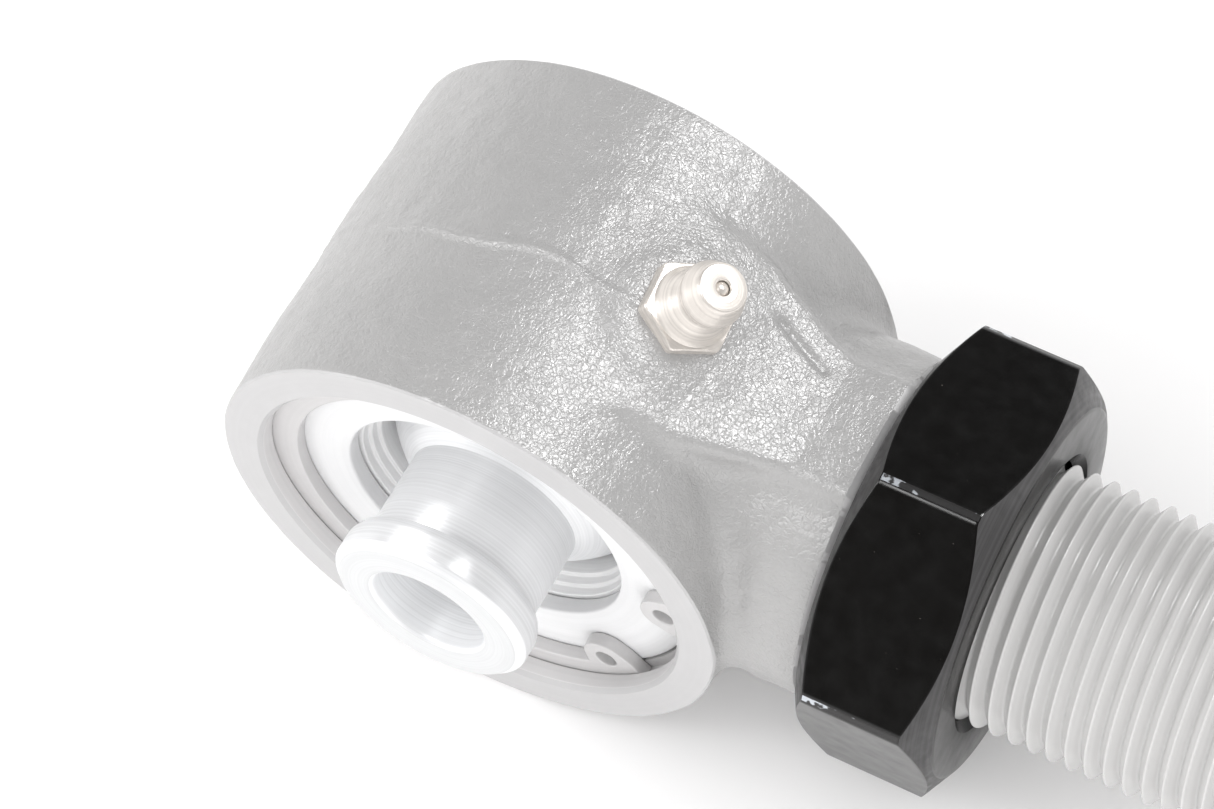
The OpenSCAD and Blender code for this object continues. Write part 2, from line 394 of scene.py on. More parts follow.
def worn_edge_material():
    """The nut's corner edges: black with bright chips where it was knocked."""
    s = Shader("nut_edge")
    s.set(Roughness=0.35)
    knocked = s.ramp(s.part_of(s.coordinates, "X"), [(0.002, 0.3), (0.006, 0.0)])
    chips = s.ramp(s.math("ADD", s.noise(900, detail=3), knocked), [(0.66, 0.0), (0.72, 1.0)])
    s.into("Base Color", s.ramp(chips, [(0.0, (0.012, 0.011, 0.011)), (1.0, (0.6, 0.63, 0.67))]))
    s.into("Metallic", chips)
    s.into("Normal", s.bump(s.noise(2500, detail=4), 0.4, 0.04))
    return s.material


FORGED = forged_material()
MACHINED = turned_material(
    "machined_face", "Y", (0.48, 0.475, 0.477), 0.4, 0.05, metallic=0.1, speckle=0.1, tone=0.012
)
# The bore is the rim faces' machined steel painted lighter: painted light against the shade inside the barrel.
BORE = turned_material("machined_bore_painted_lighter", "Y", (0.60, 0.59, 0.59), 0.42, 0.15, metallic=0.1, tone=0.04)
THREAD = turned_material(
    "rolled_thread", "X", (0.53, 0.525, 0.52), 0.22, 0.05, metallic=0.0, speckle=0.12, tone=0.02
)
BALL = turned_material(
    "ball_steel", "Z", (0.80, 0.805, 0.815), 0.36, 0.5, metallic=0.4, ring_scale=4200, streak=0.7
)
# The ball's bore is the ball steel painted lighter: painted light against the shade inside the bore.
BALL_BORE_PAINTED_LIGHTER = turned_material(
    "ball_bore", "Z", (0.88, 0.885, 0.895), 0.36, 0.5, metallic=0.3, ring_scale=4200, tone=0.06, streak=0.7
)
# The ball's end faces are the ball steel painted darker: painted shade that holds back the strong light they get.
BALL_FACE_PAINTED_DARKER = turned_material(
    "ball_face_painted_darker", "Z", (0.62, 0.625, 0.63), 0.36, 0.2, metallic=0.2, ring_scale=4200, tone=0.03
)
RACE = turned_material("race_steel", "Z", (0.84, 0.84, 0.84), 0.34, 0.2, ring_scale=3000, tone=0.03)
WASHER = turned_material(
    "washer_zinc", "Z", (0.74, 0.74, 0.745), 0.5, 0.0, metallic=0.0, speckle=0.8, tone=0.02
)
RING = turned_material("ring_steel", "Z", (0.58, 0.57, 0.57), 0.42, 0.05, speckle=0.2, tone=0.02)
NICKEL = turned_material(
    "fitting_nickel", "Z", (0.73, 0.685, 0.64), 0.33, 0.9, metallic=0.5, ring_scale=3400, tone=0.1
)
BLACK = nut_material()
CHAMFER = chamfer_material()
WORN_EDGE = worn_edge_material()


# ---------------------------------------------------------------- the forging


SKIN_STEP = 0.26
# The web ramps down along the neck and narrows on the way.
WEB_START, WEB_END, WEB_SLOPE = 14.0, 30.5, 0.36
WEB_HALF_W, WEB_TAPER_START, WEB_TAPER = 11.0, 20.0, 0.36
# The neck's drafted flanks, which run out into the round neck.
FLANK_DRAFT = math.radians(23.4)
FLANK_REACH, FLANK_START, FLANK_RUN, FLANK_RELIEF = 16.9, 24.0, 7.0, 2.4
SEAT_R = 6.0
# How much the barrel's middle stands proud of its rims.
CROWN = 0.2
# Planes that the web, the neck and the seat stop at, buried in the forging.
WEB_BURIED_X, WEB_BURIED_Z, NECK_BURIED_X, SEAT_BURIED = WEB_START - 6, 6, 8, 12
# How far the blank is cut back from the rims and the shoulder, for the machined edges to join.
RIM_CUT, SHOULDER_CUT = 0.22, 0.8
# How far the blank's ends run past the cuts.
OVERRUN = 1.0


def smooth_min(a, b, reach):
    """The smaller of two distances, rounded where they are within reach of each other."""
    share = np.clip(reach - np.abs(a - b), 0, None) / reach
    return np.minimum(a, b) - share * share * reach / 4


def smooth_max(a, b, reach):
    """The larger of two distances, rounded in the same way."""
    return -smooth_min(-a, -b, reach)


def web_distance(x, y, z):
    """Distance from the raised web that ramps down from the grease fitting onto the neck."""
    top = (z - neck_r - WEB_SLOPE * np.clip(WEB_END - x, 0, WEB_END - WEB_START)) / math.hypot(1, WEB_SLOPE)
    half_w = WEB_HALF_W - WEB_TAPER * np.clip(x - WEB_TAPER_START, 0, WEB_END - WEB_TAPER_START)
    buried = np.maximum(WEB_BURIED_X - x, WEB_BURIED_Z - z)
    return smooth_max(np.maximum(top, buried), np.abs(y) - half_w, 1.2)


def neck_distance(x, y, z):
    """Distance from the neck: round at the nut, with drafted flanks where it meets the barrel."""
    relief = FLANK_RELIEF * np.clip((x - FLANK_START) / FLANK_RUN, 0, 1)
    flank = np.abs(y) * math.cos(FLANK_DRAFT) + np.abs(z) * math.sin(FLANK_DRAFT) - FLANK_REACH - relief
    return np.maximum(smooth_max(np.hypot(y, z) - neck_r, flank, 2.0), NECK_BURIED_X - x)


def seat_distance(x, y, z):
    """Distance from the low boss under the grease fitting."""
    along = x * fitting_axis.x + z * fitting_axis.z
    across = np.sqrt((x * fitting_axis.z - z * fitting_axis.x) ** 2 + (y - fitting_y) ** 2)
    side = (across - SEAT_R) * 0.6
    return np.maximum(smooth_max(side, along - fitting_seat, 2.0), SEAT_BURIED - along)


def blank_distance(p):
    """Distance from the rough forging's outer skin, negative inside."""
    x, y, z = p
    barrel = np.hypot(x, z) - barrel_r - CROWN * (1 - (y / barrel_half_w) ** 2)
    body = smooth_min(barrel, neck_distance(x, y, z), 3.0)
    raised = smooth_min(web_distance(x, y, z), seat_distance(x, y, z), 3.0)
    ends = np.maximum(np.abs(y) - barrel_half_w - OVERRUN, x - neck_end - OVERRUN)
    return np.maximum(smooth_min(body, raised, 2.4), ends)


def surface_net(distance, low, high, step):
    """A quad mesh of a distance field's zero surface."""
    axes = [np.arange(a, b + step, step) for a, b in zip(low, high)]
    value = distance(np.meshgrid(*axes, indexing="ij")).astype(np.float32)
    inside = value < 0
    shape = tuple(n - 1 for n in inside.shape)
    offsets = [(i, j, k) for i in (0, 1) for j in (0, 1) for k in (0, 1)]
    count = sum(
        inside[i : i + shape[0], j : j + shape[1], k : k + shape[2]].astype(np.int8) for i, j, k in offsets
    )
    cells = np.argwhere((count > 0) & (count < 8))
    number = np.full(shape, -1, np.int64)
    number[tuple(cells.T)] = np.arange(len(cells))
    total = np.zeros((len(cells), 3))
    hits = np.zeros(len(cells))
    for a in offsets:
        for axis in range(3):
            if a[axis]:
                continue
            b = tuple(v + (n == axis) for n, v in enumerate(a))
            va = value[tuple((cells + a).T)]
            vb = value[tuple((cells + b).T)]
            crossed = (va < 0) != (vb < 0)
            t = np.where(crossed, va / np.where(crossed, va - vb, 1), 0)
            point = np.repeat([a], len(cells), 0).astype(float)
            point[:, axis] += t
            total += point * crossed[:, None]
            hits += crossed
    points = (cells + total / hits[:, None]) * step + np.array([a[0] for a in axes])
    quads = []
    for axis in range(3):
        u, v = (axis + 1) % 3, (axis + 2) % 3
        first = np.take(inside, range(shape[axis]), axis)
        second = np.take(inside, range(1, shape[axis] + 1), axis)
        edges = np.argwhere(first != second)
        past_low = (edges[:, u] > 0) & (edges[:, v] > 0)
        before_high = (edges[:, u] < shape[u]) & (edges[:, v] < shape[v])
        edges = edges[past_low & before_high]
        around = []
        for du, dv in ((1, 1), (0, 1), (0, 0), (1, 0)):
            cell = edges.copy()
            cell[:, u] -= du
            cell[:, v] -= dv
            around.append(number[tuple(cell.T)])
        quad = np.stack(around, 1)
        leaving = first[tuple(edges.T)]
        quad[~leaving] = quad[~leaving][:, ::-1]
        quads.append(quad)
    return points, np.concatenate(quads)


def gradient(distance, points):
    """Direction in which the distance grows, one unit vector a point."""
    h = 0.02
    parts = []
    for axis in range(3):
        shift = np.zeros(3)
        shift[axis] = h
        parts.append(distance((points + shift).T) - distance((points - shift).T))
    normals = np.stack(parts, 1)
    return normals / np.linalg.norm(normals, axis=1)[:, None]


def near_line(x, y, start, end, width):
    """Closeness, 0 to 1, to a straight line between two points of a plan view."""
    run = np.subtract(end, start)
    along = np.clip(((x - start[0]) * run[0] + (y - start[1]) * run[1]) / (run @ run), 0, 1)
    off = np.hypot(x - start[0] - along * run[0], y - start[1] - along * run[1])
    return np.exp(-((off / width) ** 2))


# The parting ridge wanders along the barrel, strongest at its middle angle.
RIDGE_Y, RIDGE_W, RIDGE_HEIGHT, RIDGE_MIDDLE = -1.6, 0.45, 0.3, math.radians(108)
# The fold is a short groove on the web.
FOLD_START, FOLD_END, FOLD_W, FOLD_DEPTH = (22.7, 6.2), (28.5, 4.1), 0.5, 0.35


def skin_relief(points):
    """Height of the forged skin over its nominal surface: dents, wrinkles, pebbles, parting ridge, fold."""
    height = np.empty(len(points))
    for i, p in enumerate(points.tolist()):
        v = Vector(p)
        dents = noise.noise(v / 9.0)
        wrinkles = noise.noise(v / 2.4 + Vector((7, 3, 1)))
        pebbles = 0.4 - abs(noise.noise(v / 0.8))
        height[i] = 0.22 * dents + 0.10 * wrinkles + 0.09 * pebbles
    x, y, z = points.T
    angle = np.arctan2(z, x)
    wander = 0.7 * np.sin(5 * angle + 0.6) + 0.35 * np.sin(13 * angle)
    ridge = np.exp(-(((y - RIDGE_Y - wander) / RIDGE_W) ** 2))
    shown = np.clip(np.cos((angle - RIDGE_MIDDLE) * 1.7), 0, 1) ** 0.5
    fold = near_line(x, y, FOLD_START, FOLD_END, FOLD_W) * (z > 0)
    height += RIDGE_HEIGHT * ridge * shown - FOLD_DEPTH * fold
    to_shoulder = np.clip((neck_end - SHOULDER_CUT - x) / 1.2, 0, 1)
    to_rim = np.clip((barrel_half_w - np.abs(y)) / 0.8, 0.35, 1)
    return height * to_shoulder * to_rim


def forging_blank():
    """The forging's outer skin as a bmesh, cut flat at the barrel's rims and the neck's shoulder."""
    margin = 2 * OVERRUN
    low = (-barrel_r - 1.5, -barrel_half_w - margin, -barrel_r - 1.5)
    high = (neck_end + margin, barrel_half_w + margin, fitting_seat + margin)
    points, quads = surface_net(blank_distance, low, high, SKIN_STEP)
    for _ in range(2):
        normals = gradient(blank_distance, points)
        points = points - normals * blank_distance(points.T)[:, None]
    normals = gradient(blank_distance, points)
    points = points + normals * skin_relief(points)[:, None]
    mesh = bpy.data.meshes.new("blank")
    mesh.from_pydata(points.tolist(), [], quads.tolist())
    shape = bmesh.new()
    shape.from_mesh(mesh)
    bpy.data.meshes.remove(mesh)
    rim = barrel_half_w - RIM_CUT
    for place, direction in (
        ((0, -rim, 0), (0, -1, 0)),
        ((0, rim, 0), (0, 1, 0)),
        ((neck_end - SHOULDER_CUT, 0, 0), (1, 0, 0)),
    ):
        geometry = shape.verts[:] + shape.edges[:] + shape.faces[:]
        bmesh.ops.bisect_plane(shape, geom=geometry, plane_co=place, plane_no=direction, clear_outer=True)
    return shape


def close_with_rings(shape, chosen, rings, axis, materials):
    """Joins the open edge made of the chosen vertices to rings about an axis.

    Each ring is (radius or None for the edge's own radius, inset, distance along the axis).
    """
    u, v = (axis + 1) % 3, (axis + 2) % 3
    edges = [e for e in shape.edges if e.is_boundary and all(chosen(w.co) for w in e.verts)]
    columns = {}
    for edge in edges:
        for vertex in edge.verts:
            if vertex in columns:
                continue
            own = math.hypot(vertex.co[u], vertex.co[v])
            column = [vertex]
            for radius, inset, along in rings:
                r = (own if radius is None else radius) - inset
                co = Vector((0, 0, 0))
                co[u] = vertex.co[u] / own * r
                co[v] = vertex.co[v] / own * r
                co[axis] = along
                column.append(shape.verts.new(co))
            columns[vertex] = column
    for edge in edges:
        a, b = (columns[w] for w in edge.verts)
        for i in range(len(rings)):
            face = shape.faces.new((a[i], b[i], b[i + 1], a[i + 1]))
            face.material_index = materials[i]


def build_forging():
    """Forged skin with its machined rims, bore, ring grooves and shoulder."""
    shape = forging_blank()
    for side in (FRONT, REAR):
        rim = -side * barrel_half_w
        washer = -side * washer_high[1]
        groove_out = -side * (ring_high[1] + 0.1)
        middle = -side * washer_low[1]
        rings = [
            (None, 0.2, rim),
            (bore_r + 0.5, 0.0, rim),
            (bore_r + 0.06, 0.0, rim + side * 0.45),
            (bore_r, 0.0, rim + side * 0.55),
            (bore_r, 0.0, groove_out),
            (groove_r, 0.0, groove_out),
            (groove_r, 0.0, washer),
            (bore_r, 0.0, washer),
            (bore_r, 0.0, middle),
        ]
        edge = -side * (barrel_half_w - RIM_CUT)
        # The bore and the ring grooves take the lighter copy of the machined steel: painted light against the
        # shade inside the barrel.
        slots = [1] * 3 + [2] * 6
        close_with_rings(shape, lambda co, e=edge: abs(co.y - e) < 0.01, rings, 1, slots)
    shoulder = neck_end - SHOULDER_CUT
    rings = [(None, 0.7, neck_end), (thread_r - 2, 0.0, neck_end)]
    close_with_rings(shape, lambda co: abs(co.x - shoulder) < 0.01, rings, 0, [1, 1])
    bmesh.ops.recalc_face_normals(shape, faces=shape.faces[:])
    bmesh.ops.scale(shape, vec=(MM, MM, MM), verts=shape.verts[:])
    mesh = bpy.data.meshes.new("housing_forging")
    shape.to_mesh(mesh)
    shape.free()
    materials = [FORGED, MACHINED, BORE]
    finish_piece("housing_forging", mesh, materials, "housing", ["forged_housing"], sharp=40)


def build_thread():
    """The shank's helical thread, with flats on its crests and a tapered start."""
    segments = 240
    start, depth, chamfer = neck_end - 1.0, 1.24, 1.8
    outline = [
        (0.00, 0.10), (0.03, 0.02), (0.08, 0.0), (0.12, 0.03), (0.15, 0.12),
        (0.47, 0.90), (0.53, 1.0), (0.60, 1.0), (0.66, 0.90),
    ]
    turns = int((shank_end - start) / thread_pitch) + 2
    angles, along, cuts = thread_grid(outline, turns, start, segments)
    tip = np.clip(along - (shank_end - chamfer), 0, chamfer)
    radius = np.minimum(thread_r - depth * cuts, thread_r - tip)
    radius = np.where(along < neck_end + 1.5, thread_r - depth, radius)
    radius = np.where(along > shank_end, 0.0, radius)
    along = np.clip(along, start, shank_end)
    points = np.stack([along, -radius * np.sin(angles), radius * np.cos(angles)], -1)
    faces = grid_faces(*along.shape, wrap_columns=False)
    add_piece("shank_thread", points.reshape(-1, 3), faces, [THREAD], "housing", sharp=50)


build_forging()
build_thread()


# ---------------------------------------------------------------- ball, races, washers and rings


def build_ball():
    """Ball with two necks and chamfered collars, bored through."""
    neck, collar, length = 9.525, 11.1, 4.4
    back = ball_half_w - length
    touch = math.asin(neck / ball_r)
    arc = [(ball_r * math.sin(a), ball_r * math.cos(a)) for a in np.linspace(touch, math.pi - touch, 72)]
    end = rounded(
        [
            (bolt_r, 0.0),
            (bolt_r, ball_half_w - 0.5),
            (bolt_r + 0.5, ball_half_w),
            (collar - 1.0, ball_half_w),
            (collar, ball_half_w - 0.9),
            (collar, back + 1.1),
            (collar - 0.5, back),
            (neck + 0.3, back),
            (neck, back - 0.3),
            (neck, arc[0][1]),
        ],
        0.22,
        closed=False,
    )
    other = [(r, -h) for r, h in reversed(end)]
    profile = end[:-1] + arc + other[1:]
    points, faces = revolve(profile[:-1], 256)
    materials = [BALL, BALL_BORE_PAINTED_LIGHTER, BALL_FACE_PAINTED_DARKER]
    place = place_outward(FRONT)
    ball = add_piece("ball", points, faces, materials, "ball", ["ball_sleeve"], place)
    # The bore takes the lighter copy of the ball steel, painted light against its shade.
    for polygon in ball.data.polygons:
        if polygon.center.xy.length < (bolt_r + 0.05) * MM:
            polygon.material_index = 1
        # The end faces take the darker copy of the ball steel, painted shade against the strong light on them.
        elif abs(polygon.center.z) > (ball_half_w - 0.2) * MM:
            polygon.material_index = 2


def build_race(side, name, node):
    """Half of the seat, with a stepped mouth round the ball."""
    seat = ball_r + seat_clearance
    face, split, outer = race_high[1], race_low[1], race_high[0]
    mouth, step_r, step_depth = 14.4, 0.5, 1.05
    low = math.asin(mouth / seat)
    high = math.acos(split / seat)
    arc = [(seat * math.sin(a), seat * math.cos(a)) for a in np.linspace(high, low, 40)]
    steps = rounded(
        [
            arc[-1],
            (mouth, face - 2 * step_depth),
            (mouth + step_r, face - 2 * step_depth),
            (mouth + step_r, face - step_depth),
            (mouth + 2 * step_r, face - step_depth),
            (mouth + 2 * step_r, face),
            (outer - 0.5, face),
            (outer, face - 0.5),
            (outer, split + 1),
            (outer - 1, split),
        ],
        0.2,
        closed=False,
    )
    points, faces = revolve(arc[:-1] + steps, 192)
    add_piece(name, points, faces, [RACE], "races", [node], place_outward(side))


def build_washer(side, name, node):
    """Flat washer with soft edges."""
    inner, outer = 15.8, washer_high[0]
    low, high = washer_low[1], washer_high[1]
    profile = rounded([(inner, low), (outer, low), (outer, high), (inner, high)], 0.35)
    points, faces = revolve(profile, 192)
    add_piece(name, points, faces, [WASHER], "housing", [node], place_outward(side))


def ring_outline():
    """Inner radius against angle from the gap's middle, and the lugs' angle and distance, of a snap ring."""
    half_gap, lug_angle = math.radians(16), math.radians(23.5)
    lug_at, lug_r = 21.6, 2.7
    offset, inner, far = 0.5, 21.6, 99.0
    angles = np.linspace(half_gap, ALL_ROUND - half_gap, 361)
    plain = offset * np.cos(angles) + np.sqrt(inner**2 - (offset * np.sin(angles)) ** 2)
    away = np.minimum(np.abs(angles - lug_angle), np.abs(ALL_ROUND - lug_angle - angles))
    under = lug_r**2 - (lug_at * np.sin(away)) ** 2
    lug = lug_at * np.cos(away) - np.sqrt(np.clip(under, 0, None))
    lug = np.where(under > 0, lug, far)
    return angles, smooth_min(plain, lug, 0.8), lug_angle, lug_at


def build_snap_ring(side, gap_angle, name, node):
    """Internal snap ring with rounded edges and a drilled lug at each end."""
    angles, inner, lug_angle, lug_at = ring_outline()
    outer, hole_r, bevel = ring_high[2], 1.2, 0.16
    curve = bpy.data.curves.new(name, "CURVE")
    curve.dimensions = "2D"
    curve.fill_mode = "BOTH"
    curve.bevel_depth = bevel * MM
    curve.bevel_resolution = 2
    curve.offset = -bevel * MM
    curve.extrude = ((ring_high[1] - ring_low[1]) / 2 - bevel) * MM

    def add_loop(xs, ys):
        spline = curve.splines.new("POLY")
        spline.points.add(len(xs) - 1)
        flat = np.stack([xs, ys, np.zeros(len(xs)), np.ones(len(xs))], -1)
        flat[:, :2] *= MM
        spline.points.foreach_set("co", flat.ravel())
        spline.use_cyclic_u = True

    ring_x = np.concatenate([outer * np.cos(angles), (inner * np.cos(angles))[::-1]])
    ring_y = np.concatenate([outer * np.sin(angles), (inner * np.sin(angles))[::-1]])
    add_loop(ring_x, ring_y)
    around = np.linspace(0, ALL_ROUND, 32, endpoint=False)
    for way in (-1, 1):
        centre_x, centre_y = lug_at * math.cos(lug_angle), way * lug_at * math.sin(lug_angle)
        add_loop(centre_x + hole_r * np.cos(around), centre_y + hole_r * np.sin(around))
    temporary = bpy.data.objects.new(name, curve)
    mesh = bpy.data.meshes.new_from_object(temporary)
    bpy.data.objects.remove(temporary)
    middle = (ring_low[1] + ring_high[1]) / 2 * MM
    mesh.transform(Matrix.Rotation(gap_angle, 4, "Z") @ Matrix.Translation((0, 0, middle)))
    finish_piece(name, mesh, [RING], "housing", [node], place_outward(side))


build_ball()
for side, word in ((FRONT, "front"), (REAR, "rear")):
    build_race(side, f"race_{word}", f"{word}_race")
    build_washer(side, f"washer_{word}", f"{word}_side_washer")
build_snap_ring(FRONT, ring_gap_angle, "snap_ring_front", "front_snap_ring")
build_snap_ring(REAR, math.pi - ring_gap_angle, "snap_ring_rear", "rear_snap_ring")


# ---------------------------------------------------------------- jam nut


SIXTH = math.pi / 3
NUT_FACE_R = 0.95 * nut_apothem
NUT_CHAMFER_SLOPE = math.tan(math.radians(30))
NUT_MOUTH = 1.1


def hex_radius(angle, apothem, corner_round):
    """Radius of a hexagon with rounded corners, at an angle from a corner."""
    off = abs((angle + SIXTH / 2) % SIXTH - SIXTH / 2)
    plain = apothem / math.cos(SIXTH / 2 - off)
    return plain - corner_round * max(0.0, 1 - off / 0.035) ** 2


def nut_column(angle):
    """The nut's outline at one angle, as (radius, height) pairs from one hole edge to the other."""
    r, soft = hex_radius(angle, nut_apothem, 0.35), 0.12
    chamfer = (r - NUT_FACE_R) * NUT_CHAMFER_SLOPE
    half = [
        (nut_hole_r, NUT_MOUTH),
        (nut_hole_r + NUT_MOUTH, 0.0),
        (NUT_FACE_R - 0.25, 0.0),
        (NUT_FACE_R - 0.05, 0.03),
        (NUT_FACE_R + 0.15, 0.12),
        (r - 2 * soft, chamfer - 2 * soft * NUT_CHAMFER_SLOPE),
        (r - 0.4 * soft, chamfer),
        (r, chamfer + soft),
        (r, chamfer + 2.5 * soft),
    ]
    return half + [(radius, nut_thickness - height) for radius, height in reversed(half)]


def nut_slot(angle, row, rows):
    """The material of one face of the nut: worn corner, chamfer or black."""
    from_corner = abs((angle + 0.01 + SIXTH / 2) % SIXTH - SIXTH / 2)
    if from_corner < 0.017 and 6 < row < rows - 8:
        return 2
    return int(row in (4, 5, rows - 6, rows - 7))


def build_nut():
    """Hexagonal nut, chamfered both ends, with a countersunk thread."""
    near_corners = [k * SIXTH + d for k in range(6) for d in np.linspace(-0.06, 0.06, 13)]
    even = np.linspace(0, ALL_ROUND, 180, endpoint=False)
    angles = np.array(sorted(set(np.round(np.mod(np.concatenate([near_corners, even]), ALL_ROUND), 5))))
    profile = np.array([nut_column(a) for a in angles])
    radius, height = profile[:, :, 0], profile[:, :, 1]
    across = radius * np.cos(angles)[:, None]
    points = np.stack([across, radius * np.sin(angles)[:, None], height], -1).reshape(-1, 3)
    points = points @ np.array(Matrix.Rotation(math.pi / 2, 3, "Y")).T
    count, rows = radius.shape
    place = Matrix.Translation((nut_low[0] * MM, 0, 0)) @ Matrix.Rotation(nut_turn, 4, "X")
    faces = turned_faces(count, rows, closed=False)
    materials = [BLACK, CHAMFER, WORN_EDGE]
    nut = add_piece("jam_nut_body", points, faces, materials, "nut", ["jam_nut"], place, 22)
    slots = [nut_slot(a, row, rows) for a in angles for row in range(rows - 1)]
    nut.data.polygons.foreach_set("material_index", slots)


def build_nut_thread():
    """The nut's inner thread: ridges with their crests just clear of the shank's."""
    depth, inset = 1.1, 0.02
    outline = [(0.0, 0.0), (0.12, 0.0), (0.47, 1.0), (0.62, 1.0)]
    angles, along, cuts = thread_grid(outline, int(nut_thickness / thread_pitch) + 1, 0.0, 120)
    mouth = np.minimum(along, nut_thickness - along)
    radius = np.maximum(nut_hole_r + depth * cuts, nut_hole_r + np.clip(NUT_MOUTH - mouth, 0, NUT_MOUTH))
    along = np.clip(along, inset, nut_thickness - inset)
    points = np.stack([along, radius * np.sin(angles), radius * np.cos(angles)], -1)
    faces = grid_faces(*along.shape, wrap_columns=False)
    place = Matrix.Translation((nut_low[0] * MM, 0, 0))
    add_piece("jam_nut_thread", points.reshape(-1, 3), faces, [BLACK], "nut", (), place, 50)


build_nut()
build_nut_thread()


# ---------------------------------------------------------------- grease fitting


HEX_APOTHEM, HEX_HEIGHT, FITTING_TOP = 4.5, 2.3, 9.5
CHANNEL_R, TIP_R, TIP_DEPTH = 1.08, 0.8, 0.4
SPRING_LOW, SPRING_HIGH, SPRING_COIL_R, SPRING_WIRE_R = 4.09, 7.45, 0.72, 0.14

fitting_base = fitting_axis * (fitting_seat + 0.02) + Vector((0, fitting_y, 0))
fitting_right = Vector((0, 1, 0)).cross(fitting_axis)
fitting_turn = Matrix((fitting_right, Vector((0, 1, 0)), fitting_axis)).transposed().to_4x4()
hex_turn = Matrix.Rotation(math.radians(-25), 4, "Z")
FITTING_PLACE = Matrix.Translation(fitting_base * MM) @ fitting_turn @ hex_turn


def hexagon_column(angle):
    """The fitting's hexagon at one angle, from the seat up to its top face."""
    r = hex_radius(angle, HEX_APOTHEM, 0.08)
    cone = max(0.0, (r - HEX_APOTHEM - 0.25) * 0.6)
    return [
        (r - 0.35, 0.0),
        (r - 0.05, 0.3),
        (r, 0.45),
        (r, HEX_HEIGHT - cone - 0.15),
        (r - 0.12, HEX_HEIGHT - cone),
        (4.35, HEX_HEIGHT),
    ]


def build_fitting():
    """Low hexagon under a turned cone, then the waist and the head with its open tip."""
    cone = [(4.2, HEX_HEIGHT + 0.02), (3.95, HEX_HEIGHT + 0.35), (3.5, 3.8), (2.85, 5.1), (2.75, 5.8)]
    head = [(3.35, 6.4), (3.45, 6.75), (3.45, 7.25), (3.05, 8.2), (2.72, 9.2), (2.5, FITTING_TOP)]
    tip = [
        (0.9, FITTING_TOP),
        (TIP_R, FITTING_TOP - 0.1),
        (TIP_R, FITTING_TOP - TIP_DEPTH),
        (CHANNEL_R, FITTING_TOP - 0.45),
        (CHANNEL_R, FITTING_TOP - 3),
    ]
    turned = rounded(cone + head + tip, 0.2, steps=3, closed=False)
    angles = np.linspace(0, ALL_ROUND, 192, endpoint=False)
    columns = [hexagon_column(a) + turned for a in angles]
    points = [(r * math.cos(a), r * math.sin(a), h) for a, column in zip(angles, columns) for r, h in column]
    faces = turned_faces(len(columns), len(columns[0]), closed=False)
    replaced = ["grease_fitting_body"]
    add_piece("grease_fitting", points, faces, [NICKEL], "housing", replaced, FITTING_PLACE, 28)


def build_spring():
    """The check ball's coil spring, built at its resting length."""
    turns, sides = 6, 10
    steps = turns * 32 + 1
    turn = np.linspace(0, turns * ALL_ROUND, steps)[:, None]
    around = np.linspace(0, ALL_ROUND, sides, endpoint=False)[None, :]
    share = np.linspace(0, 1, steps)[:, None]
    length = SPRING_HIGH - SPRING_LOW - 2 * SPRING_WIRE_R
    reach = SPRING_COIL_R + SPRING_WIRE_R * np.cos(around)
    height = SPRING_LOW + SPRING_WIRE_R + length * share + SPRING_WIRE_R * np.sin(around)
    points = np.stack([reach * np.cos(turn), reach * np.sin(turn), height], -1)
    faces = grid_faces(steps, sides)
    faces.append(tuple(range(sides)))
    faces.append(tuple(range((steps - 1) * sides, steps * sides)))
    points, replaced = points.reshape(-1, 3), ["grease_fitting_spring"]
    spring = add_piece(
        "grease_spring", points, faces, [RING], "housing", replaced, FITTING_PLACE, 60
    )
    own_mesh(spring)


build_fitting()
build_spring()
check_ball = frame["nodes"]["grease_check_ball"]
check_ball.data.materials.clear()
check_ball.data.materials.append(NICKEL)


# ---------------------------------------------------------------- stage, light and camera


def floor_tilt():
    """Slope of a floor that touches the barrel's underside and the far end of the nut's lowest edge."""
    chamfer = (nut_apothem * 2 / math.sqrt(3) - NUT_FACE_R) * NUT_CHAMFER_SLOPE
    across, down = nut_high[0] - chamfer, -nut_low[2]
    return math.atan2(across, down) - math.acos(barrel_r / math.hypot(across, down))


def build_floor():
    """A pale floor close under the barrel and the nut's lowest corner, glowing a little to stay white."""
    size, gap = 2.0, 0.12
    mesh = bpy.data.meshes.new("floor")
    corners = [(-size, -size, 0), (size, -size, 0), (size, size, 0), (-size, size, 0)]
    mesh.from_pydata(corners, [], [(0, 1, 2, 3)])
    s = Shader("floor_white")
    s.set(Roughness=0.9, Specular_IOR_Level=0.1)
    shades = [(0.3, (0.90, 0.895, 0.895)), (0.7, (0.93, 0.925, 0.925))]
    s.into("Base Color", s.ramp(s.noise(4, detail=3), shades))
    s.into("Normal", s.bump(s.noise(300, detail=3), 0.02, 0.05))
    s.set(Emission_Color=(1, 0.98, 0.98, 1), Emission_Strength=0.05)
    mesh.materials.append(s.material)
    floor = bpy.data.objects.new("floor", mesh)
    bpy.context.scene.collection.objects.link(floor)
    tilt = floor_tilt()
    drop = -(barrel_r + gap) * MM / math.cos(tilt)
    floor.matrix_world = Matrix.Translation((0, 0, drop)) @ Matrix.Rotation(-tilt, 4, "Y")


LIGHT_DISTANCE = 0.9


def build_light(name, direction, size, power, lit=True, reflected=True, only=()):
    """A rectangular soft light aimed at the part.

    It may be left out of the part's lighting or its reflections, or shine on the named pieces only.
    """
    data = bpy.data.lights.new(name, "AREA")
    data.shape = "RECTANGLE"
    data.size, data.size_y = size
    data.energy = power
    lamp = bpy.data.objects.new(name, data)
    bpy.context.scene.collection.objects.link(lamp)
    towards = Vector(direction).normalized()
    lamp.visible_diffuse = lit
    lamp.visible_glossy = reflected
    if only:
        receivers = bpy.data.collections.new(f"{name}_receivers")
        for piece in only:
            receivers.objects.link(bpy.data.objects[piece])
        lamp.light_linking.receiver_collection = receivers
    turn = towards.to_track_quat("Z", "Y").to_matrix().to_4x4()
    lamp.matrix_world = Matrix.Translation(towards * LIGHT_DISTANCE) @ turn


